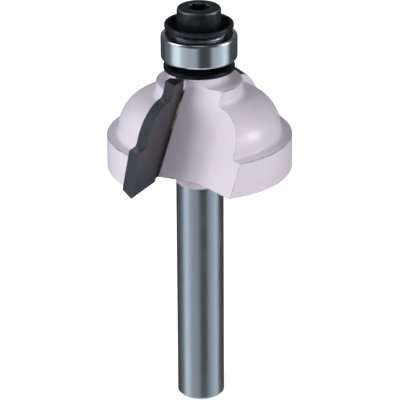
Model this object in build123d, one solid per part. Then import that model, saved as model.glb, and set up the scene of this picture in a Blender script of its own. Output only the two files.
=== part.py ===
from build123d import *
from math import cos, hypot, pi, radians, sin, sqrt, tan
import os

os.makedirs("parts", exist_ok=True)

# Two-wing cove router bit with a pilot bearing, standing on the end of its shank.
# Millimetres, +Z up, the origin at the centre of the shank's end face.
# The heights below are measured from the underside of the head, and save() lifts each piece to its place.

# Shank and neck
shank_r = 3.0
shank_length = 32.0
shank_chamfer = 0.45
neck_fillet = 1.0

# Cutting outline that the tips sweep: a band, a ledge, a short wall, a quarter round, a step and a collar
cut_r = 12.7
cut_ledge_z = 5.75
cut_ledge_width = 1.8
cut_wall_height = 0.93
cut_cove_r = 4.05
cut_step_width = 0.7
cut_nose_height = 2.05
cut_corner = 0.35

# Painted head behind the cutting outline: an outer band, a dome on it and a collar on the dome
band_inset = 1.1
band_drop = 1.25
band_edge = 0.2
dome_excess = 0.38
dome_centre_inset = 1.15
dome_drop = 1.48
dome_foot_fillet = 0.45
collar_inset = 0.75
collar_height = 0.87
collar_foot_fillet = 0.6
collar_edge = 0.22

# Boss that carries the lower shield, and the pilot stud that carries the bearing
boss_r = 3.4
boss_height = 1.4
boss_fillet = 0.78
shoulder_r = 2.5
stud_fit = 0.005
stud_short_of_bearing = 0.35

# Carbide tips: the rake plane leans forward towards the nose and passes behind the axis at the underside
tip_count = 2
tip_heading = 241.5
tip_lean = 12.25
tip_behind_axis = 2.78
tip_thickness = 1.92
tip_side_relief = 30.5
tip_top_relief = 19.8
tip_nose_relief = 17.0
tip_end_relief = 2.0
tip_hang = 0.52
tip_nose_width = 2.25

# Seat of a tip: its inner edge, where that edge turns up, the braze and the post beside the tip's nose
root_u = 6.3
root_lean = 0.24
root_turn_drop = 1.58
braze_thickness = 0.1
braze_side = 0.45
braze_nose = 0.06
braze_step = 0.12
post_thickness = 1.2
post_width = 0.85
post_below_nose = 0.15

# Flute in front of a tip: a sloping floor, a round and an opening wall
flute_floor_width = 5.1
flute_floor_slope = -6.2
flute_wall_slope = 23.6
flute_round = 6.0

# Pilot bearing, 3/16 x 3/8 x 1/8 inch
bearing_bore_r = 2.38125
bearing_r = 4.7625
bearing_width = 3.175
bearing_edge = 0.36
inner_wall = 0.76875
inner_edge = 0.06
outer_wall = 0.8125
ball_count = 8
ball_r = 0.79375
race_clearance = 0.015
cage_gap = 0.12
cage_height = 1.9
pocket_clearance = 0.03
seal_seat_depth = 0.25
seal_thickness = 0.25
seal_recess = 0.27
seal_lip_gap = 0.04

# Dished shields, back to back with the bearing between them
shield_thickness = 0.45
shield_height = 1.395
shield_rim_band = 0.5
shield_rim_width = 0.36
shield_rim_round = 0.12
shield_hub_r = 2.7
shield_bore_clearance = 0.1
lower_shield_r = 4.45
upper_shield_r = 4.3
lower_shield_gap = 0.02

# Socket head cap screw
screw_r = 1.5
screw_length = 8.0
screw_fit = 0.03
screw_hole_past_tip = 1.0
screw_head_r = 2.75
screw_head_height = 3.0
screw_head_round = 0.4
screw_head_foot = 0.2
hex_flats = 2.5
hex_depth = 1.6
hex_mouth = 0.18
knurl_count = 44
knurl_share = 0.7
knurl_depth = 0.05
knurl_low = 0.4
knurl_high = 2.3

# Room that a cutter goes past the surface that it opens, and how near two corners count as one
past = 2.0
same_place = 0.0001

# Radii and heights that follow
cove_foot_r = cut_r - cut_ledge_width
cove_centre_r = cove_foot_r - cut_cove_r
cove_centre_z = cut_ledge_z + cut_wall_height
cove_top_z = cove_centre_z + cut_cove_r
cut_collar_r = cove_centre_r - cut_step_width
tip_top = cove_top_z + cut_nose_height
root_turn_z = tip_top - root_turn_drop
band_r = cut_r - band_inset
band_height = cut_ledge_z - band_drop
dome_r = cut_cove_r + dome_excess
dome_centre_r = cove_centre_r - dome_centre_inset
dome_centre_z = cove_centre_z - dome_drop
collar_r = cut_collar_r - collar_inset
collar_top = cove_top_z + collar_height
boss_top = collar_top + boss_height
lower_rim = boss_top + lower_shield_gap
bearing_bottom = lower_rim + shield_height
bearing_middle = bearing_bottom + bearing_width / 2
bearing_top = bearing_bottom + bearing_width
shoulder_top = bearing_bottom - shield_thickness
stud_top = bearing_top - stud_short_of_bearing
screw_seat = bearing_top + shield_thickness
screw_tip = screw_seat - screw_length
ball_circle_r = (bearing_bore_r + bearing_r) / 2
inner_land_r = bearing_bore_r + inner_wall
outer_land_r = bearing_r - outer_wall
seal_seat_r = outer_land_r + seal_seat_depth


def save(solid, name):
    """Name a piece, lift it to its place above the shank's end and write it."""
    placed = Pos(0, 0, shank_length) * solid
    placed.label = name
    export_step(placed, f"parts/{name}.step")


def outline(*points):
    """Closed face through (radius, height) points."""
    return make_face(Polyline(*[(r, 0, z) for r, z in points], close=True))


def rounded(face, radius, *places):
    """Round the corners of an outline that lie at these (radius, height) places."""
    corners = [v for v in face.vertices() if any(hypot(v.X - r, v.Z - z) < same_place for r, z in places)]
    return fillet(corners, radius)


def turned(face):
    """Solid of revolution about Z."""
    return revolve(face, Axis.Z)


# Frame of a tip: out is level and points away from the axis along the rake face, ahead is level and points
# the way that the tip moves, rake_normal looks out of the rake face and face_up climbs in it.
heading = radians(tip_heading)
lean = radians(tip_lean)
out = Vector(cos(heading), sin(heading), 0)
ahead = Vector(-sin(heading), cos(heading), 0)
rake_normal = ahead * cos(lean) - Vector(0, 0, sin(lean))
face_up = ahead * sin(lean) + Vector(0, 0, cos(lean))


def rake_point(u, z):
    """Point of the rake plane at the distance u out and the height z."""
    return out * u - ahead * tip_behind_axis + face_up * (z / cos(lean))


def on_cut(radius, z):
    """Point of the rake plane at this radius from the axis and this height."""
    aside = z * tan(lean) - tip_behind_axis
    return rake_point(sqrt(radius**2 - aside**2), z)


nose_root_u = sqrt(cut_collar_r**2 - (tip_top * tan(lean) - tip_behind_axis) ** 2) - tip_nose_width


def tip_root(z):
    """Distance out of a tip's inner edge: it runs with the flute, then turns up beside the boss."""
    if z <= root_turn_z:
        return root_u - root_lean * z
    turn_u = root_u - root_lean * root_turn_z
    return turn_u + (nose_root_u - turn_u) * (z - root_turn_z) / (tip_top - root_turn_z)


def seat_block(side, nose, front, back):
    """Block over a tip's seat. Its inner edge stands off from the tip's by side, and by nose beside the nose."""
    outer = band_r + past
    z_low = -tip_hang - past
    z_step = root_turn_z + braze_step
    z_high = tip_top + past
    corners = [
        rake_point(tip_root(z_low) - side, z_low),
        rake_point(outer, z_low),
        rake_point(outer, z_high),
        rake_point(tip_root(z_high) - nose, z_high),
        rake_point(tip_root(z_step) - nose, z_step),
        rake_point(tip_root(root_turn_z) - side, root_turn_z),
    ]
    face = make_face(Polyline(*[point + rake_normal * front for point in corners], close=True))
    return Solid.extrude(face.face(), rake_normal * -(front + back))


def end_room(z, tilt, side):
    """Room past one end of a tip, the nose (side 1) or the foot (side -1). The end draws in behind the rake face."""
    tilt = radians(tilt)
    end_line = rake_point(0, z)
    away = rake_normal * -cos(tilt) - face_up * (side * sin(tilt))
    front = end_line - away * past
    back = end_line + away * (tip_thickness + past)
    rise = face_up * (side * (tip_thickness + 2 * past))
    section = make_face(Polyline(front, back, back + rise, front + rise, close=True))
    return Solid.extrude(section.face(), out * (cut_r + past))


def make_tip():
    """Carbide tip: its cutting outline, relieved behind the edge and cut off square at the inner edge."""
    diagonal = cut_cove_r / sqrt(2)
    low = -tip_hang - past
    high = tip_top + past
    wall_top = on_cut(cove_foot_r, cove_centre_z)
    step_start = on_cut(cove_centre_r, cove_top_z)
    below_round = Polyline(
        rake_point(0, low),
        on_cut(cut_r, low),
        on_cut(cut_r, cut_ledge_z),
        on_cut(cove_foot_r + cut_corner, cut_ledge_z),
        on_cut(cove_foot_r, cut_ledge_z + cut_corner),
        wall_top,
    )
    above_round = Polyline(
        step_start,
        on_cut(cut_collar_r + cut_corner, cove_top_z),
        on_cut(cut_collar_r, cove_top_z + cut_corner),
        on_cut(cut_collar_r, high),
        rake_point(0, high),
        rake_point(0, low),
    )
    middle = on_cut(cove_centre_r + diagonal, cove_centre_z + diagonal)
    face = make_face([below_round, ThreePointArc(wall_top, middle, step_start), above_round])
    side_fall = tip_thickness * tan(radians(tip_side_relief))
    top_fall = tip_thickness * tan(radians(tip_top_relief))
    to_back = rake_normal * -tip_thickness - out * side_fall - face_up * top_fall
    relieved = Solid.extrude(face.face(), to_back)
    tip = relieved & seat_block(0, 0, 0, tip_thickness)
    tip -= end_room(tip_top, tip_nose_relief, 1)
    return tip - end_room(-tip_hang, tip_end_relief, -1)


def make_post():
    """Upright beside the nose of a tip, between it and the boss."""
    low = collar_top - past
    high = tip_top - post_below_nose
    inner = nose_root_u - braze_nose - post_width
    corners = [
        rake_point(inner, low),
        rake_point(tip_root(low), low),
        rake_point(tip_root(root_turn_z), root_turn_z),
        rake_point(tip_root(high), high),
        rake_point(inner, high),
    ]
    face = make_face(Polyline(*corners, close=True))
    return Solid.extrude(face.face(), rake_normal * -post_thickness)


def flute_section(z):
    """Outline of the flute at one height. It keeps its shape and moves with the tip's inner edge."""
    foot = out * (root_u - braze_side - root_lean * z) + ahead * (z * tan(lean) - tip_behind_axis)

    def along(length, slope):
        return ahead * (length * cos(radians(slope))) + out * (length * sin(radians(slope)))

    level = Vector(0, 0, z)
    across = 2 * band_r
    turn = foot + along(flute_floor_width, flute_floor_slope)
    wall_end = turn + along(across, flute_wall_slope)
    corners = [foot, turn, wall_end, wall_end + out * across, foot + out * across]
    face = make_face(Polyline(*[point + level for point in corners], close=True))
    corner = [v for v in face.vertices() if (Vector(v.X, v.Y, v.Z) - turn - level).length < same_place]
    return fillet(corner, flute_round).face()


def make_flute():
    """Space that the flute takes out of the head, up to the top of the boss's fillet."""
    rise = collar_top + past
    drift = ahead * tan(lean) - out * root_lean + Vector(0, 0, 1)
    lower = Solid.extrude(flute_section(-past), drift * rise)
    upper = Solid.extrude(flute_section(collar_top), Vector(0, 0, boss_fillet))
    return lower + upper


def make_blank():
    """Head, shank and stud as turned, before any milling."""
    dome_foot_r = dome_centre_r + dome_r
    dome_end_z = dome_centre_z + sqrt(dome_r**2 - (dome_centre_r - collar_r) ** 2)
    diagonal = dome_r / sqrt(2)
    stud_r = bearing_bore_r - stud_fit
    path = [
        Polyline(
            (0, 0, -shank_length),
            (shank_r - shank_chamfer, 0, -shank_length),
            (shank_r, 0, shank_chamfer - shank_length),
            (shank_r, 0, 0),
            (band_r, 0, 0),
            (band_r, 0, band_height),
            (dome_foot_r, 0, band_height),
            (dome_foot_r, 0, dome_centre_z),
        ),
        ThreePointArc(
            (dome_foot_r, 0, dome_centre_z),
            (dome_centre_r + diagonal, 0, dome_centre_z + diagonal),
            (collar_r, 0, dome_end_z),
        ),
        Polyline(
            (collar_r, 0, dome_end_z),
            (collar_r, 0, collar_top),
            (boss_r, 0, collar_top),
            (boss_r, 0, boss_top),
            (shoulder_r, 0, shoulder_top),
            (stud_r, 0, shoulder_top),
            (stud_r, 0, stud_top),
            (0, 0, stud_top),
            (0, 0, -shank_length),
        ),
    ]
    face = make_face(path)
    face = rounded(face, neck_fillet, (shank_r, 0))
    face = rounded(face, band_edge, (band_r, 0), (band_r, band_height))
    face = rounded(face, dome_foot_fillet, (dome_foot_r, band_height))
    face = rounded(face, collar_foot_fillet, (collar_r, dome_end_z))
    face = rounded(face, collar_edge, (collar_r, collar_top))
    collar_face_width = collar_r - collar_edge - boss_r
    face = rounded(face, min(boss_fillet, collar_face_width - band_edge), (boss_r, collar_top))
    return turned(face)


def make_head():
    """Cutter body, with its flutes, posts, seats and screw hole, and the braze that fills the seats."""
    blank = make_blank()
    turns = [Rot(0, 0, 360 / tip_count * k) for k in range(tip_count)]
    flute = make_flute()
    post = make_post()
    seat_depth = tip_thickness + braze_thickness
    seat = seat_block(braze_side, braze_nose, past, seat_depth)
    seat_under_face = seat_block(braze_side, braze_nose, 0, seat_depth)
    under_tip = seat_block(0, 0, past, tip_thickness)

    body = blank
    for turn in turns:
        body -= turn * flute
    for turn in turns:
        body += turn * post
    for turn in turns:
        body -= turn * seat
    hole_depth = stud_top - screw_tip + screw_hole_past_tip
    hole_foot = Pos(0, 0, stud_top - hole_depth)
    standing = (Align.CENTER, Align.CENTER, Align.MIN)
    body -= hole_foot * Cylinder(screw_r + screw_fit, hole_depth + past, align=standing)

    filled = (seat_under_face & (blank + post)) - under_tip
    return body, [turn * filled for turn in turns], turns


def race_groove():
    """Ring that both raceways are cut by, a little larger in section than the balls."""
    centre = Plane.XZ * Pos(ball_circle_r, bearing_middle)
    return revolve(centre * Circle(ball_r + race_clearance), Axis.Z)


def make_outer_ring():
    """Outer ring: it rolls on the template, and a step at each face holds a seal."""
    step = seal_recess + seal_thickness
    ring = outline(
        (outer_land_r, bearing_bottom + step),
        (seal_seat_r, bearing_bottom + step),
        (seal_seat_r, bearing_bottom),
        (bearing_r, bearing_bottom),
        (bearing_r, bearing_top),
        (seal_seat_r, bearing_top),
        (seal_seat_r, bearing_top - step),
        (outer_land_r, bearing_top - step),
    )
    ring = rounded(ring, bearing_edge, (bearing_r, bearing_bottom), (bearing_r, bearing_top))
    return turned(ring) - race_groove()


def make_inner_ring():
    """Inner ring, clamped on the stud between the two shields."""
    ring = outline(
        (bearing_bore_r, bearing_bottom),
        (inner_land_r, bearing_bottom),
        (inner_land_r, bearing_top),
        (bearing_bore_r, bearing_top),
    )
    ring = rounded(ring, inner_edge, (inner_land_r, bearing_bottom), (inner_land_r, bearing_top))
    return turned(ring) - race_groove()


def make_seal(z_low):
    """Flat seal: it fits in the outer ring's step, and its lip runs just clear of the inner ring."""
    z_high = z_low + seal_thickness
    lip_r = inner_land_r + seal_lip_gap
    return turned(outline((lip_r, z_low), (seal_seat_r, z_low), (seal_seat_r, z_high), (lip_r, z_high)))


def ball_places():
    """One place for each ball, evenly round the bearing."""
    first = Pos(ball_circle_r, 0, bearing_middle)
    return [Rot(0, 0, 360 / ball_count * k) * first for k in range(ball_count)]


def make_cage():
    """Ring between the two races with a drilled pocket for each ball."""
    inner_r = inner_land_r + cage_gap
    outer_r = outer_land_r - cage_gap
    z_low = bearing_middle - cage_height / 2
    z_high = bearing_middle + cage_height / 2
    cage = turned(outline((inner_r, z_low), (outer_r, z_low), (outer_r, z_high), (inner_r, z_high)))
    pocket = Rot(0, 90, 0) * Cylinder(ball_r + pocket_clearance, 2 * past)
    for place in ball_places():
        cage -= place * pocket
    return cage


def make_shield(hub_z, rim_r, side):
    """Dished washer. side is 1 when its rim stands above the clamped face, -1 when it hangs below."""
    cone_rise = shield_height - shield_rim_band
    slope = cone_rise / (rim_r - shield_hub_r)
    wall_rise = shield_thickness * sqrt(1 + slope**2)
    lip_r = rim_r - shield_rim_width
    bore_r = screw_r + shield_bore_clearance if side > 0 else bearing_bore_r
    hub_inner_r = shield_hub_r - (wall_rise - shield_thickness) / slope
    lip_foot = wall_rise + slope * (lip_r - shield_hub_r)
    profile = [
        (bore_r, 0),
        (shield_hub_r, 0),
        (rim_r, cone_rise),
        (rim_r, shield_height),
        (lip_r, shield_height),
        (lip_r, lip_foot),
        (hub_inner_r, shield_thickness),
        (bore_r, shield_thickness),
    ]
    placed = [(r, hub_z + side * height) for r, height in profile]
    rim = [placed[2], placed[3], placed[4]]
    return turned(rounded(outline(*placed), shield_rim_round, *rim))


def make_screw():
    """Cap screw: knurled round head with a hexagon socket, on a plain shank that stands for the thread."""
    head_top = screw_seat + screw_head_height
    profile = outline(
        (0, screw_tip),
        (screw_r, screw_tip),
        (screw_r, screw_seat),
        (screw_head_r - screw_head_foot, screw_seat),
        (screw_head_r, screw_seat + screw_head_foot),
        (screw_head_r, head_top),
        (0, head_top),
    )
    screw = turned(rounded(profile, screw_head_round, (screw_head_r, head_top)))
    hex_r = hex_flats / sqrt(3)
    socket = Pos(0, 0, head_top - hex_depth) * extrude(RegularPolygon(hex_r, 6), hex_depth + past)
    screw -= socket
    mouth_top = head_top + hex_mouth
    screw -= turned(outline((0, head_top - hex_r), (hex_r + hex_mouth, mouth_top), (0, mouth_top)))
    half_width = pi * screw_head_r / knurl_count * knurl_share
    groove = make_face(
        Polyline(
            (screw_head_r - knurl_depth, 0, 0),
            (screw_head_r + knurl_depth, half_width, 0),
            (screw_head_r + knurl_depth, -half_width, 0),
            close=True,
        )
    )
    groove = Pos(0, 0, screw_seat + knurl_low) * extrude(groove, knurl_high - knurl_low)
    for k in range(knurl_count):
        screw -= Rot(0, 0, 360 / knurl_count * k) * groove
    return screw


body, braze_seams, tip_turns = make_head()
save(body, "cutter_body")

tip = make_tip()
for number, (turn, seam) in enumerate(zip(tip_turns, braze_seams), start=1):
    save(turn * tip, f"carbide_tip_{number}")
    save(seam, f"braze_seam_{number}")

save(make_shield(bearing_bottom, lower_shield_r, -1), "lower_shield")
save(make_outer_ring(), "bearing_outer_ring")
save(make_inner_ring(), "bearing_inner_ring")
save(make_cage(), "bearing_cage")
for number, place in enumerate(ball_places(), start=1):
    save(place * Sphere(ball_r), f"bearing_ball_{number}")
save(make_seal(bearing_bottom + seal_recess), "bearing_seal_lower")
save(make_seal(bearing_top - seal_recess - seal_thickness), "bearing_seal_upper")
save(make_shield(bearing_top, upper_shield_r, 1), "upper_shield")
save(make_screw(), "cap_screw")
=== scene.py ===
import math
import bpy
from mathutils import Matrix, Vector


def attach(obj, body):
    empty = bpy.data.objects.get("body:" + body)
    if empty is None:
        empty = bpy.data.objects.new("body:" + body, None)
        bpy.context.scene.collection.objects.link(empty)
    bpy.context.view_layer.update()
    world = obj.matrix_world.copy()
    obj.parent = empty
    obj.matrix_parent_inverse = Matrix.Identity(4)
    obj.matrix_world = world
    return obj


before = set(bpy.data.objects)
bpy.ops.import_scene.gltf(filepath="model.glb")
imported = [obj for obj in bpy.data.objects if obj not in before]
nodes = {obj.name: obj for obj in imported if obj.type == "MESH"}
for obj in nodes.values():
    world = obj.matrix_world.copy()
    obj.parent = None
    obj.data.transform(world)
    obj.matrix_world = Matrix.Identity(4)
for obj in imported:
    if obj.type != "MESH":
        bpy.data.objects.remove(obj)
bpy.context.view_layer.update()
mm = 0.001

scene = bpy.context.scene
scene.view_settings.view_transform = "Standard"
print("frame loaded:", len(nodes), "nodes")


# small helpers for node trees
# the sets below hold a smooth step as two numbers, where it starts and where it is full,
# with the two values that it goes between after them where those aren't 0 and 1

def newTree(name):
    material = bpy.data.materials.new(name)
    material.use_nodes = True
    tree = material.node_tree
    tree.nodes.clear()
    output = tree.nodes.new("ShaderNodeOutputMaterial")
    return material, tree, output


def put(tree, kind, inputs=None, **settings):
    # one node, with its settings and its inputs; an input is a number, a colour or a socket to link from
    made = tree.nodes.new("ShaderNode" + kind)
    for key, value in settings.items():
        setattr(made, key, value)
    for key, value in (inputs or {}).items():
        if isinstance(value, bpy.types.NodeSocket):
            tree.links.new(value, made.inputs[key])
        else:
            made.inputs[key].default_value = value
    return made


def calc(tree, operation, a, b=0.0, clamp=False):
    return put(tree, "Math", {0: a, 1: b}, operation=operation, use_clamp=clamp).outputs[0]


def times(tree, a, b):
    return calc(tree, "MULTIPLY", a, b)


def plus(tree, a, b):
    return calc(tree, "ADD", a, b)


def minus(tree, a, b):
    return calc(tree, "SUBTRACT", a, b)


def stretch(tree, value, low, high, toLow=0.0, toHigh=1.0):
    # smooth step from low to high
    ends = {0: value, 1: low, 2: high, 3: toLow, 4: toHigh}
    return put(tree, "MapRange", ends, interpolation_type="SMOOTHSTEP").outputs[0]


def noise(tree, vector, size, detail=3.0, rough=0.55):
    # size is the width of one blotch in metres
    made = put(tree, "TexNoise", {"Vector": vector, "Scale": 1 / size, "Detail": detail, "Roughness": rough})
    return made.outputs["Fac"]


def patches(tree, point, kind, detail=3.0, toLow=0.0, toHigh=1.0):
    # soft-edged patches; a kind is their width and the noise levels at which they start and are full
    width, start, full = kind
    return stretch(tree, noise(tree, point, width, detail), start, full, toLow, toHigh)


def blend(tree, factor, a, b):
    # two colours, each a socket or three numbers
    made = put(tree, "Mix", {0: factor}, data_type="RGBA")
    for socket, value in ((6, a), (7, b)):
        if isinstance(value, bpy.types.NodeSocket):
            tree.links.new(value, made.inputs[socket])
        else:
            made.inputs[socket].default_value = (*value, 1)
    return made.outputs[2]


def between(tree, factor, a, b):
    # two plain values
    return put(tree, "Mix", {0: factor, 2: a, 3: b}).outputs[0]


def place(tree):
    # the point on the piece, in metres
    return put(tree, "TexCoord").outputs["Object"]


def parts(tree, vector):
    split = put(tree, "SeparateXYZ", {0: vector})
    return split.outputs[0], split.outputs[1], split.outputs[2]


def fromAxis(tree, x, y):
    # how far the point is from the upright axis
    level = put(tree, "CombineXYZ", {0: x, 1: y}).outputs[0]
    return put(tree, "VectorMath", {0: level}, operation="LENGTH").outputs["Value"]


def along(tree, vector, direction):
    # how far the vector goes in a direction
    return put(tree, "VectorMath", {0: vector, 1: direction}, operation="DOT_PRODUCT").outputs["Value"]


def facing(tree):
    return put(tree, "NewGeometry").outputs["Normal"]


def softNormal(tree, width):
    # the normal as if the sharp edges were rounded to this radius
    return put(tree, "Bevel", {"Radius": width}, samples=12).outputs[0]


def edgeMask(tree, soft, strength):
    # rises along sharp edges, where the soft normal leaves the true one
    same = along(tree, soft, facing(tree))
    return calc(tree, "MULTIPLY", minus(tree, 1.0, same), strength, clamp=True)


def ringLines(tree, height, angle, size):
    # fine turning or grinding marks that run round the axis and fade in and out
    metresPerRadian = 0.0006
    stretched = put(tree, "CombineXYZ", {0: times(tree, angle, metresPerRadian), 2: height}).outputs[0]
    return noise(tree, stretched, size, 4.0, 0.7)


def bump(tree, height, depth, normal=None):
    # depth is the real height in metres that the value 1 stands for
    inputs = {"Height": height, "Distance": depth, "Strength": 1.0}
    if normal is not None:
        inputs["Normal"] = normal
    return put(tree, "Bump", inputs).outputs[0]


# camera: place, lens and sensor in millimetres, turns in degrees, nearest distance in metres

cameraSet = {
    "at": (0.0, -303.88, 160.68), "down": 23.723, "roll": -0.344, "lens": 236.3, "sensor": 36, "near": 0.01,
}


def addCamera():
    data = bpy.data.cameras.new("camera")
    data.lens = cameraSet["lens"]
    data.sensor_width = cameraSet["sensor"]
    data.clip_start = cameraSet["near"]
    camera = bpy.data.objects.new("camera", data)
    scene.collection.objects.link(camera)
    turn = Matrix.Rotation(math.radians(90 - cameraSet["down"]), 4, "X")
    roll = Matrix.Rotation(math.radians(cameraSet["roll"]), 4, "Z")
    camera.matrix_world = Matrix.Translation(Vector(cameraSet["at"]) * mm) @ turn @ roll
    scene.camera = camera


addCamera()
print("camera set")


# studio: pale floor, soft lamps, and a tube of light that only gloss sees

floorSet = {"size": 6.0, "colour": (0.86, 0.86, 0.87), "lift": 0.75}
worldSet = {
    "background": (1.0, 1.0, 1.0), "ambient": (0.95, 0.95, 1.0),
    "dimming": (0.0, 0.75, 0.40, 0.16),
}
lampSet = {
    "keyLeft": {"at": (-0.74, -0.44, 0.36), "size": 0.5, "power": 7.3, "colour": (1.0, 0.99, 1.0)},
    "fillRight": {"at": (0.72, -0.42, 0.20), "size": 0.5, "power": 4.7, "colour": (1.0, 0.97, 0.96)},
    "top": {"at": (0.0, 0.0, 0.9), "size": 0.7, "power": 0.9, "colour": (1.0, 1.0, 1.0)},
}
lampAim = Vector((0, 0, 0.038))
# panels: centre and half width round the object in degrees from the camera, the same up and down from
# the middle, soft edge in degrees (half of it at the sides), strength
tentSet = {
    "radius": 0.9, "low": -0.8, "high": 5.0, "sides": 96, "middle": 0.035,
    "dim": 0.075, "tint": (0.93, 0.97, 1.0),
    "panels": {
        "leftWide": (-49, 45, -27, 27, 14, 0.48),
        "leftBright": (-72, 14, -27, 27, 14, 0.60),
        "leftSoft": (-60, 18, -27, 32, 24, 0.16),
        "leftBack": (-109, 13, -27, 27, 16, 0.12),
        "rightWide": (68, 31, -27, 27, 12, 0.52),
        "rightBack": (84, 10, -27, 27, 12, 0.42),
        "rightSoft": (71, 14, -27, 27, 16, 0.16),
        "domeSpot": (82, 9, 11, 8, 7, 13.0),
        "highLeft": (-84, 19, 36, 20, 12, 2.6),
        "highRight": (90, 17, 34, 18, 12, 1.1),
        "behind": (180, 42, 23, 12, 5, 0.10),
    },
}


def addFloor():
    bpy.ops.object.select_all(action="DESELECT")
    bpy.ops.mesh.primitive_plane_add(size=floorSet["size"], location=(0, 0, 0))
    floor = bpy.context.object
    floor.name = "floor"
    material, tree, output = newTree("paleFloor")
    flat = put(tree, "BsdfDiffuse", {"Color": (*floorSet["colour"], 1)})
    # the camera sees it lifted to white, with the object's shadow kept
    lifted = times(tree, put(tree, "LightPath").outputs["Is Camera Ray"], floorSet["lift"])
    glow = put(tree, "Emission", {"Color": (1, 1, 1, 1), "Strength": lifted})
    both = put(tree, "AddShader", {0: flat.outputs[0], 1: glow.outputs[0]})
    tree.links.new(both.outputs[0], output.inputs[0])
    floor.data.materials.append(material)
    floor.visible_glossy = False


def addWorld():
    world = bpy.data.worlds.new("studio")
    scene.world = world
    world.use_nodes = True
    tree = world.node_tree
    tree.nodes.clear()
    path = put(tree, "LightPath")
    mirrored = calc(tree, "MAXIMUM", path.outputs["Is Glossy Ray"], path.outputs["Is Transmission Ray"])
    seen = calc(tree, "MAXIMUM", path.outputs["Is Camera Ray"], mirrored)
    pale = put(tree, "Background", {"Color": (*worldSet["background"], 1), "Strength": 1.0})
    # the room is dimmer overhead than round about
    up = parts(tree, put(tree, "TexCoord").outputs["Generated"])[2]
    level = stretch(tree, up, *worldSet["dimming"])
    soft = put(tree, "Background", {"Color": (*worldSet["ambient"], 1), "Strength": level})
    mixed = put(tree, "MixShader", {0: seen, 1: soft.outputs[0], 2: pale.outputs[0]})
    output = tree.nodes.new("ShaderNodeOutputWorld")
    tree.links.new(mixed.outputs[0], output.inputs[0])


def addLamps():
    for name, lamp in lampSet.items():
        data = bpy.data.lights.new(name, "AREA")
        data.shape = "SQUARE"
        data.size = lamp["size"]
        data.energy = lamp["power"]
        data.color = lamp["colour"]
        lampObject = bpy.data.objects.new(name, data)
        scene.collection.objects.link(lampObject)
        aim = lampAim - Vector(lamp["at"])
        lampObject.rotation_euler = aim.to_track_quat("-Z", "Y").to_euler()
        lampObject.location = lamp["at"]
        lampObject.visible_glossy = False


def tentLight(tree):
    # strength of the tube's light: dim, with soft-edged panels on it
    x, y, z = parts(tree, place(tree))
    turned = calc(tree, "ARCTAN2", x, times(tree, y, -1.0))
    around = times(tree, turned, math.degrees(1))
    rise = minus(tree, z, tentSet["middle"])
    above = times(tree, calc(tree, "ARCTAN2", rise, fromAxis(tree, x, y)), math.degrees(1))
    total = tentSet["dim"]
    for centre, halfWide, level, halfTall, soft, strength in tentSet["panels"].values():
        turn = {0: minus(tree, around, centre), 1: 180.0, 2: -180.0}
        aside = calc(tree, "ABSOLUTE", put(tree, "Math", turn, operation="WRAP").outputs[0])
        side = stretch(tree, aside, halfWide + soft / 2, halfWide - soft / 2)
        away = calc(tree, "ABSOLUTE", minus(tree, above, level))
        upDown = stretch(tree, away, halfTall + soft, halfTall - soft)
        total = plus(tree, times(tree, times(tree, side, upDown), strength), total)
    return total


def addTent():
    bpy.ops.object.select_all(action="DESELECT")
    bpy.ops.mesh.primitive_cylinder_add(
        vertices=tentSet["sides"], radius=tentSet["radius"], depth=tentSet["high"] - tentSet["low"],
        end_fill_type="NOTHING", location=(0, 0, (tentSet["high"] + tentSet["low"]) / 2))
    tent = bpy.context.object
    bpy.ops.object.transform_apply(location=True, rotation=False, scale=False)
    tent.name = "lightTent"
    material, tree, output = newTree("tentPanels")
    glow = put(tree, "Emission", {"Color": (*tentSet["tint"], 1), "Strength": tentLight(tree)})
    tree.links.new(glow.outputs[0], output.inputs[0])
    tent.data.materials.append(material)
    tent.visible_camera = False
    tent.visible_diffuse = False
    tent.visible_shadow = False
    tent.visible_transmission = False


addFloor()
addWorld()
addLamps()
addTent()
print("studio set")


# paint of the head: lilac, drifting to pink and to a cooler tone, thin and grey on the sharp edges
# bandEdge and collarEdge are the height and the least radius of two turned edges, and the roughness goes
# with the orange peel

paintSet = {
    "lilac": (0.665, 0.635, 0.715), "pink": (0.665, 0.60, 0.66), "cool": (0.62, 0.605, 0.72),
    "thin": (0.23, 0.24, 0.29),
    "pinkPatch": (5 * mm, 0.35, 0.65), "pinkShare": 0.6,
    "coolPatch": (3.2 * mm, 0.45, 0.7), "coolShare": 0.45,
    "edgeWidth": 0.16 * mm, "edgeBend": (0.008, 0.07),
    "thinPatch": (0.9 * mm, 0.3, 0.7), "thinShare": (0.35, 0.95),
    "ringWidth": (0.12 * mm, 0.03 * mm), "ringFade": 0.08 * mm,
    "bandEdge": (36.45 * mm, 11.40 * mm), "collarEdge": (43.50 * mm, 5.10 * mm),
    "speckSize": 1.6 * mm, "speckWidth": (0.055, 0.03),
    "speckPatch": (2.4 * mm, 0.56, 0.62), "speckShare": 0.6,
    "peelSize": 0.42 * mm, "peelSpread": (0.2, 0.8), "roughness": (0.28, 0.31),
}


def turnedEdge(tree, z, radius, name):
    # a narrow ring where the paint is thin, on one edge of the turned head
    level, least = paintSet[name]
    near = stretch(tree, calc(tree, "ABSOLUTE", minus(tree, z, level)), *paintSet["ringWidth"])
    return times(tree, near, stretch(tree, radius, least, least + paintSet["ringFade"]))


def paintSpecks(tree, point):
    # small grey dots, in a few places only
    cell = put(tree, "TexVoronoi", {"Vector": point, "Scale": 1 / paintSet["speckSize"]}).outputs["Distance"]
    here = patches(tree, point, paintSet["speckPatch"], 1.0)
    dots = times(tree, stretch(tree, cell, *paintSet["speckWidth"]), here)
    return times(tree, dots, paintSet["speckShare"])


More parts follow.
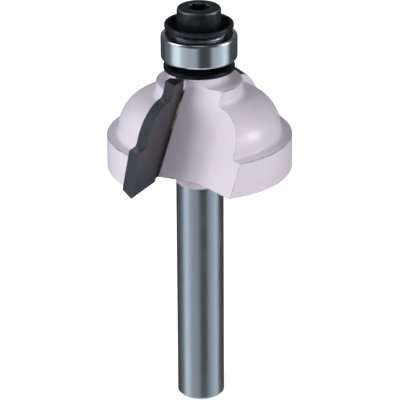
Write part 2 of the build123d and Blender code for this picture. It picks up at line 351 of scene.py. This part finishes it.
def paintLook(tree, point, z, radius):
    # gives the colour, the roughness and the height of the orange peel from 0 to 1
    toPink = times(tree, patches(tree, point, paintSet["pinkPatch"], 2.0), paintSet["pinkShare"])
    toCool = times(tree, patches(tree, point, paintSet["coolPatch"], 2.0), paintSet["coolShare"])
    colour = blend(tree, toPink, paintSet["lilac"], paintSet["pink"])
    colour = blend(tree, toCool, colour, paintSet["cool"])

    bend = edgeMask(tree, softNormal(tree, paintSet["edgeWidth"]), 1.0)
    edge = stretch(tree, bend, *paintSet["edgeBend"])
    for name in ("bandEdge", "collarEdge"):
        edge = calc(tree, "MAXIMUM", edge, turnedEdge(tree, z, radius, name))
    thinned = patches(tree, point, paintSet["thinPatch"], 3.0, *paintSet["thinShare"])
    colour = blend(tree, times(tree, edge, thinned), colour, paintSet["thin"])
    colour = blend(tree, paintSpecks(tree, point), colour, paintSet["thin"])

    peel = noise(tree, point, paintSet["peelSize"], 2.0)
    return colour, stretch(tree, peel, *paintSet["peelSpread"], *paintSet["roughness"]), peel


# cutter body: painted head and neck, bare ground steel on the shank
# lineHeight and peelHeight are shares of the paint's thickness

bodySet = {
    "steel": (0.42, 0.485, 0.55), "steelDark": (0.29, 0.34, 0.39), "lineSize": 0.05 * mm,
    "lineDark": (0.3, 0.75, 0.0, 0.7), "roughness": 0.23, "lineRough": 0.12,
    "smudge": (4 * mm, 0.4, 0.7), "smudgeRough": 0.05,
    "paintEnd": 29.88 * mm, "paintRagged": 0.22 * mm, "raggedSize": 1.1 * mm, "paintFade": 0.03 * mm,
    "paintThick": 0.016 * mm, "lineHeight": 0.10, "peelHeight": 0.05,
}


def paintedBody():
    material, tree, output = newTree("paintedBody")
    point = place(tree)
    x, y, z = parts(tree, point)

    # where the paint ends on the neck, a little uneven
    ragged = minus(tree, noise(tree, point, bodySet["raggedSize"]), 0.5)
    line = plus(tree, z, times(tree, ragged, bodySet["paintRagged"] * 2))
    end, fade = bodySet["paintEnd"], bodySet["paintFade"]
    painted = stretch(tree, line, end - fade, end + fade)
    paint, roughPaint, peel = paintLook(tree, point, z, fromAxis(tree, x, y))

    # ground steel: fine rings and faint patches
    rings = ringLines(tree, z, calc(tree, "ARCTAN2", y, x), bodySet["lineSize"])
    steel = blend(tree, stretch(tree, rings, *bodySet["lineDark"]), bodySet["steel"], bodySet["steelDark"])
    smudged = times(tree, patches(tree, point, bodySet["smudge"]), bodySet["smudgeRough"])
    roughSteel = plus(tree, smudged, times(tree, rings, bodySet["lineRough"]))
    roughSteel = plus(tree, roughSteel, bodySet["roughness"])

    steelHeight = times(tree, rings, bodySet["lineHeight"])
    paintHeight = plus(tree, times(tree, peel, bodySet["peelHeight"]), 1.0)
    height = between(tree, painted, steelHeight, paintHeight)
    shader = put(tree, "BsdfPrincipled", {
        "Base Color": blend(tree, painted, steel, paint),
        "Metallic": minus(tree, 1.0, painted),
        "Roughness": between(tree, painted, roughSteel, roughPaint),
        "Normal": bump(tree, height, bodySet["paintThick"]),
        "Specular IOR Level": 0.5})
    tree.links.new(shader.outputs[0], output.inputs[0])
    return material


# carbide tips: where the rake face stands, its root beside the braze, and the greys of its faces
# heading and lean are in degrees, and low and nose are heights over the tip's underside

tipSet = {
    "heading": 241.5, "lean": 12.25, "behind": 2.78 * mm, "underside": 32 * mm,
    "rootOut": 6.3 * mm, "rootLean": 0.24,
    "faceRake": (0.9, 0.98), "faceBack": (-0.9, -0.96),
    "relief": (0.057, 0.064, 0.073), "reliefLight": (0.082, 0.092, 0.102), "grainSize": 0.09 * mm,
    "grainLight": (0.35, 0.7), "rake": (0.076, 0.069, 0.073), "rakeLow": (0.052, 0.058, 0.064),
    "low": (4.2 * mm, 1.2 * mm), "patchSize": 1.6 * mm, "patchRelief": (0.4, 0.65, 0.0, 0.35),
    # the colour named stain is a painted dark reflection beside the braze
    "stain": (0.020, 0.019, 0.022), "darkReflectionWidth": (1.7 * mm, 0.3 * mm), "darkReflectionPatch": (0.2, 0.6, 0.6, 1.0),
    "edgeHighlight": (0.30, 0.32, 0.34), "edgeWidth": 0.05 * mm, "edgeStrength": 3.5, "edgeShare": 0.5,
    "noseShade": (0.022, 0.023, 0.024), "nose": (12.55 * mm, 12.7 * mm),
    "markSize": 0.03 * mm, "markLength": (0.12, 0.2, 1.0), "markDepth": 0.004 * mm, "markRough": 0.14,
    "roughness": 0.34, "metal": 0.55,
}


def tipHeading(number):
    # level and outward in the rake face, and level and ahead
    turn = math.radians(tipSet["heading"] + 180 * (number - 1))
    return Vector((math.cos(turn), math.sin(turn), 0)), Vector((-math.sin(turn), math.cos(turn), 0))


def rakeAxes(ahead):
    # out of the rake face, and up in it
    lean = math.radians(tipSet["lean"])
    up = Vector((0, 0, 1))
    return ahead * math.cos(lean) - up * math.sin(lean), ahead * math.sin(lean) + up * math.cos(lean)


def rakeColour(tree, height, patch, fromRoot):
    # browner than the relief, darker low down, and darker beside the braze as a painted dark reflection
    colour = blend(tree, stretch(tree, height, *tipSet["low"]), tipSet["rake"], tipSet["rakeLow"])
    colour = blend(tree, stretch(tree, patch, *tipSet["patchRelief"]), colour, tipSet["relief"])
    nearRoot = stretch(tree, fromRoot, *tipSet["darkReflectionWidth"])
    darkReflection = times(tree, nearRoot, stretch(tree, patch, *tipSet["darkReflectionPatch"]))
    return blend(tree, darkReflection, colour, tipSet["stain"])


def carbide(number):
    outward, ahead = tipHeading(number)
    material, tree, output = newTree(f"carbide{number}")
    point = place(tree)
    x, y, z = parts(tree, point)
    toRake = along(tree, facing(tree), rakeAxes(ahead)[0])
    height = minus(tree, z, tipSet["underside"])
    root = minus(tree, tipSet["rootOut"], times(tree, height, tipSet["rootLean"]))
    fromRoot = minus(tree, along(tree, point, outward), root)

    grain = noise(tree, point, tipSet["grainSize"], 3.0, 0.7)
    patch = noise(tree, point, tipSet["patchSize"])
    relief = blend(tree, stretch(tree, grain, *tipSet["grainLight"]), tipSet["relief"], tipSet["reliefLight"])
    rake = rakeColour(tree, height, patch, fromRoot)
    colour = blend(tree, stretch(tree, toRake, *tipSet["faceRake"]), relief, rake)
    soft = softNormal(tree, tipSet["edgeWidth"])
    # painted highlight: the sharp edges are lightened
    edge = times(tree, edgeMask(tree, soft, tipSet["edgeStrength"]), tipSet["edgeShare"])
    colour = blend(tree, edge, colour, tipSet["edgeHighlight"])
    # painted shade: the top of the nose, under the shield, is darkened
    colour = blend(tree, stretch(tree, height, *tipSet["nose"]), colour, tipSet["noseShade"])

    # grinding marks, drawn out level
    outShare, aheadShare, upShare = tipSet["markLength"]
    squeeze = tuple(outward * outShare + ahead * aheadShare + Vector((0, 0, upShare)))
    across = put(tree, "VectorMath", {0: point, 1: squeeze}, operation="MULTIPLY").outputs[0]
    marks = noise(tree, across, tipSet["markSize"], 3.0, 0.7)
    rough = plus(tree, tipSet["roughness"], times(tree, marks, tipSet["markRough"]))
    surface = times(tree, plus(tree, marks, grain), 0.5)

    # the back of the tip took the head's paint
    painted = stretch(tree, toRake, *tipSet["faceBack"])
    paint, roughPaint = paintLook(tree, point, z, fromAxis(tree, x, y))[:2]
    shader = put(tree, "BsdfPrincipled", {
        "Base Color": blend(tree, painted, colour, paint),
        "Metallic": times(tree, minus(tree, 1.0, painted), tipSet["metal"]),
        "Roughness": between(tree, painted, rough, roughPaint),
        "Normal": bump(tree, surface, tipSet["markDepth"], soft),
        "Specular IOR Level": 0.5})
    tree.links.new(shader.outputs[0], output.inputs[0])
    return material


# bearing steel: bright outer ring, dull inner ring, polished balls

ringSet = {
    "outer": {"steel": (0.575, 0.645, 0.71), "dark": (0.43, 0.49, 0.55), "roughness": 0.16},
    # the inner ring is the same bearing steel as the outer one, made lighter as painted light where its top
    # shows
    "inner": {"steel": (0.84, 0.88, 0.92), "dark": (0.575, 0.645, 0.71), "roughness": 0.44},
    "ball": {"steel": (0.68, 0.70, 0.72), "dark": (0.5, 0.52, 0.54), "roughness": 0.08},
    "lineSize": 0.04 * mm, "lineDepth": 0.0012 * mm, "lineDark": (0.3, 0.8, 0.0, 0.45), "lineRough": 0.08,
    "darkPatch": (1.8 * mm, 0.5, 0.8), "patchShare": 0.25, "edgeWidth": 0.06 * mm,
}


def groundSteel(name):
    values = ringSet[name]
    material, tree, output = newTree(name + "Steel")
    point = place(tree)
    x, y, z = parts(tree, point)
    # marks run round on the faces as well as on the rim
    level = plus(tree, z, fromAxis(tree, x, y))
    rings = ringLines(tree, level, calc(tree, "ARCTAN2", y, x), ringSet["lineSize"])
    lined = stretch(tree, rings, *ringSet["lineDark"])
    patched = patches(tree, point, ringSet["darkPatch"], 3.0, 0.0, ringSet["patchShare"])
    shader = put(tree, "BsdfPrincipled", {
        "Base Color": blend(tree, plus(tree, lined, patched), values["steel"], values["dark"]),
        "Metallic": 1.0,
        "Roughness": plus(tree, values["roughness"], times(tree, rings, ringSet["lineRough"])),
        "Normal": bump(tree, rings, ringSet["lineDepth"], softNormal(tree, ringSet["edgeWidth"]))})
    tree.links.new(shader.outputs[0], output.inputs[0])
    return material


# black pieces: oxide on the screw, satin coat on the shields

blackSet = {
    "screw": {
        "colour": (0.034, 0.038, 0.047), "worn": (0.12, 0.13, 0.15), "rough": 0.32, "grain": 0.14 * mm,
        "metal": 0.9, "roundHighlight": (0.17, 0.18, 0.20), "highlightPatch": (0.3, 0.6, 0.35, 1.0),
        "roundFrom": (0.12, 0.4), "roundTo": (0.97, 0.8),
    },
    "upperShield": {
        "colour": (0.030, 0.037, 0.046), "worn": (0.085, 0.098, 0.112), "rough": 0.26, "grain": 0.35 * mm,
        "metal": 0.85, "dishShade": (0.0015, 0.0015, 0.002), "dishEdge": (3.92 * mm, 3.82 * mm),
        "dishUp": (0.1, 0.3), "dishDull": 2.5,
    },
    # the lower shield is the same part as the upper one; its darker black and darker worn black are painted
    # shade under the bearing
    "lowerShield": {
        "colour": (0.012, 0.016, 0.020), "worn": (0.034, 0.042, 0.052), "rough": 0.26, "grain": 0.35 * mm,
        "metal": 0.85,
    },
    "edgeWidth": 0.07 * mm, "edgeStrength": 4.0, "edgePatch": (0.35, 0.65, 0.2, 0.8),
    "patchSize": 1.3 * mm, "wornPatch": (0.45, 0.75, 0.0, 0.35), "grainRough": 0.14, "grainDepth": 0.004 * mm,
}


def blackSteel(name):
    values = blackSet[name]
    material, tree, output = newTree(name + "Black")
    point = place(tree)
    grain = noise(tree, point, values["grain"], 4.0, 0.65)
    patch = noise(tree, point, blackSet["patchSize"])
    soft = softNormal(tree, blackSet["edgeWidth"])
    edge = edgeMask(tree, soft, blackSet["edgeStrength"])
    wornEdge = times(tree, edge, stretch(tree, patch, *blackSet["edgePatch"]))
    colour = blend(tree, wornEdge, values["colour"], values["worn"])
    colour = blend(tree, stretch(tree, patch, *blackSet["wornPatch"]), colour, values["worn"])
    upward = parts(tree, facing(tree))[2]
    if "roundHighlight" in values:
        # painted highlight: the round at the top of the head is lighter, in patches
        onRound = stretch(tree, upward, *values["roundFrom"])
        onRound = times(tree, onRound, stretch(tree, upward, *values["roundTo"]))
        roundHighlight = times(tree, onRound, stretch(tree, patch, *values["highlightPatch"]))
        colour = blend(tree, roundHighlight, colour, values["roundHighlight"])
    if "dishShade" in values:
        # painted shade: the inside of the dish is darkened, and made rougher
        x, y = parts(tree, point)[:2]
        within = stretch(tree, fromAxis(tree, x, y), *values["dishEdge"])
        inside = times(tree, within, stretch(tree, upward, *values["dishUp"]))
        colour = blend(tree, inside, colour, values["dishShade"])
        grain = plus(tree, grain, times(tree, inside, values["dishDull"]))
    shader = put(tree, "BsdfPrincipled", {
        "Base Color": colour,
        "Metallic": values["metal"],
        "Roughness": plus(tree, values["rough"], times(tree, grain, blackSet["grainRough"])),
        "Normal": bump(tree, grain, blackSet["grainDepth"], soft),
        "Specular IOR Level": 0.5})
    tree.links.new(shader.outputs[0], output.inputs[0])
    return material


# rubber seals, with a film of old grease that lies mostly on the left

sealSet = {
    "rubber": (0.010, 0.010, 0.012), "grease": (0.060, 0.038, 0.022),
    "film": (1.2 * mm, 0.5, 0.68), "filmLeft": (1.0 * mm, -2.5 * mm, 0.1, 0.8),
    "filmShare": 0.8, "filmShine": 0.2,
    "roughness": 0.42, "grainSize": 0.08 * mm, "grainDepth": 0.004 * mm,
}


def sealRubber():
    material, tree, output = newTree("sealRubber")
    point = place(tree)
    x = parts(tree, point)[0]
    film = times(tree, patches(tree, point, sealSet["film"], 4.0), stretch(tree, x, *sealSet["filmLeft"]))
    greased = times(tree, film, sealSet["filmShare"])
    shader = put(tree, "BsdfPrincipled", {
        "Base Color": blend(tree, greased, sealSet["rubber"], sealSet["grease"]),
        "Roughness": minus(tree, sealSet["roughness"], times(tree, film, sealSet["filmShine"])),
        "Normal": bump(tree, noise(tree, point, sealSet["grainSize"]), sealSet["grainDepth"])})
    tree.links.new(shader.outputs[0], output.inputs[0])
    return material


# ball cage, of brown nylon

cageSet = {
    "nylon": (0.42, 0.33, 0.20), "nylonDark": (0.30, 0.22, 0.13), "fibreSize": 0.15 * mm,
    "roughness": 0.4, "fibreRough": 0.2, "fibreDepth": 0.003 * mm,
}


def cageNylon():
    material, tree, output = newTree("cageNylon")
    fibre = noise(tree, place(tree), cageSet["fibreSize"], 4.0)
    shader = put(tree, "BsdfPrincipled", {
        "Base Color": blend(tree, fibre, cageSet["nylon"], cageSet["nylonDark"]),
        "Roughness": plus(tree, cageSet["roughness"], times(tree, fibre, cageSet["fibreRough"])),
        "Normal": bump(tree, fibre, cageSet["fibreDepth"])})
    tree.links.new(shader.outputs[0], output.inputs[0])
    return material


# braze: a rough copper-brown bead that stands a little out of the seam beside each tip
# low and high are measured up from the tip's underside

brazeSet = {
    "copper": (0.44, 0.32, 0.23), "brown": (0.075, 0.052, 0.040), "soot": (0.018, 0.016, 0.016),
    "stainSize": 0.5 * mm, "stainBrown": (0.4, 0.62),
    "shine": (2.5 * mm, 0.36, 0.52), "shineUp": (36 * mm, 41 * mm),
    "metal": 0.6, "roughness": 0.35, "stainRough": 0.3, "grainSize": 0.12 * mm, "grainDepth": 0.01 * mm,
    "inFromRoot": 0.23 * mm, "halfWidth": 0.25 * mm, "rise": 0.15 * mm, "low": 0.15 * mm, "high": 11.1 * mm,
    "sides": 20, "voxel": 0.055 * mm, "lump": 0.42 * mm, "rough": 0.10 * mm, "smoothings": 3,
}


def brazeMetal():
    material, tree, output = newTree("brazeMetal")
    point = place(tree)
    stain = noise(tree, point, brazeSet["stainSize"], 4.0, 0.65)
    colour = blend(tree, stretch(tree, stain, *brazeSet["stainBrown"]), brazeSet["soot"], brazeSet["brown"])
    # bright copper shows in places, and only high up
    high = stretch(tree, parts(tree, point)[2], *brazeSet["shineUp"])
    shine = times(tree, patches(tree, point, brazeSet["shine"], 2.0), high)
    shader = put(tree, "BsdfPrincipled", {
        "Base Color": blend(tree, shine, colour, brazeSet["copper"]),
        "Metallic": brazeSet["metal"],
        "Roughness": plus(tree, brazeSet["roughness"], times(tree, stain, brazeSet["stainRough"])),
        "Normal": bump(tree, noise(tree, point, brazeSet["grainSize"]), brazeSet["grainDepth"])})
    tree.links.new(shader.outputs[0], output.inputs[0])
    return material


def beadEnd(outward, ahead, faceUp, height):
    # a point on the bead's line, in the rake face's plane
    out = tipSet["rootOut"] - tipSet["rootLean"] * height - brazeSet["inFromRoot"]
    climb = height / math.cos(math.radians(tipSet["lean"]))
    return outward * out - ahead * tipSet["behind"] + faceUp * climb + Vector((0, 0, tipSet["underside"]))


def lumpy(bead, number):
    # remeshed fine, pushed in and out, and smoothed
    remesh = bead.modifiers.new("remesh", "REMESH")
    remesh.mode = "VOXEL"
    remesh.voxel_size = brazeSet["voxel"]
    lumps = bpy.data.textures.new(f"solderLumps{number}", "CLOUDS")
    lumps.noise_scale = brazeSet["lump"]
    lumps.noise_depth = 2
    displace = bead.modifiers.new("lumps", "DISPLACE")
    displace.texture = lumps
    displace.texture_coords = "GLOBAL"
    displace.strength = brazeSet["rough"]
    smooth = bead.modifiers.new("smooth", "SMOOTH")
    smooth.iterations = brazeSet["smoothings"]
    for modifier in list(bead.modifiers):
        bpy.ops.object.modifier_apply(modifier=modifier.name)
    bpy.ops.object.shade_smooth()


def addBead(number, metal):
    # a straight run of solder in the corner beside the tip, from a flattened bar
    outward, ahead = tipHeading(number)
    rakeNormal, faceUp = rakeAxes(ahead)
    bottom = beadEnd(outward, ahead, faceUp, brazeSet["low"])
    top = beadEnd(outward, ahead, faceUp, brazeSet["high"])
    climb = (top - bottom).normalized()
    side = rakeNormal.cross(climb)
    bpy.ops.object.select_all(action="DESELECT")
    bpy.ops.mesh.primitive_cylinder_add(
        vertices=brazeSet["sides"], radius=brazeSet["halfWidth"], depth=(top - bottom).length)
    bead = bpy.context.object
    bead.name = f"braze_bead_{number}"
    bpy.ops.transform.resize(value=(1, brazeSet["rise"] / brazeSet["halfWidth"], 1))
    bpy.ops.object.transform_apply(location=False, rotation=False, scale=True)
    turn = Matrix((side, rakeNormal, climb)).transposed().to_4x4()
    bead.matrix_world = Matrix.Translation((bottom + top) / 2) @ turn
    bpy.ops.object.transform_apply(location=True, rotation=True, scale=True)
    lumpy(bead, number)
    bead.data.materials.append(metal)
    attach(bead, "cutter")


# materials go on the frame's own pieces; those not named here are the balls

solder = brazeMetal()
finishes = {
    "cutter_body": paintedBody(),
    "carbide_tip_1": carbide(1),
    "carbide_tip_2": carbide(2),
    "bearing_outer_ring": groundSteel("outer"),
    "bearing_inner_ring": groundSteel("inner"),
    "bearing_cage": cageNylon(),
    "lower_shield": blackSteel("lowerShield"),
    "upper_shield": blackSteel("upperShield"),
    "cap_screw": blackSteel("screw"),
    "bearing_seal_lower": sealRubber(),
    "bearing_seal_upper": sealRubber(),
    "braze_seam_1": solder,
    "braze_seam_2": solder,
}
ballSteel = groundSteel("ball")
for name, node in nodes.items():
    node.data.materials.clear()
    node.data.materials.append(finishes.get(name, ballSteel))
print("finishes on", len(nodes), "nodes")

for number in (1, 2):
    addBead(number, solder)
print("solder beads added")
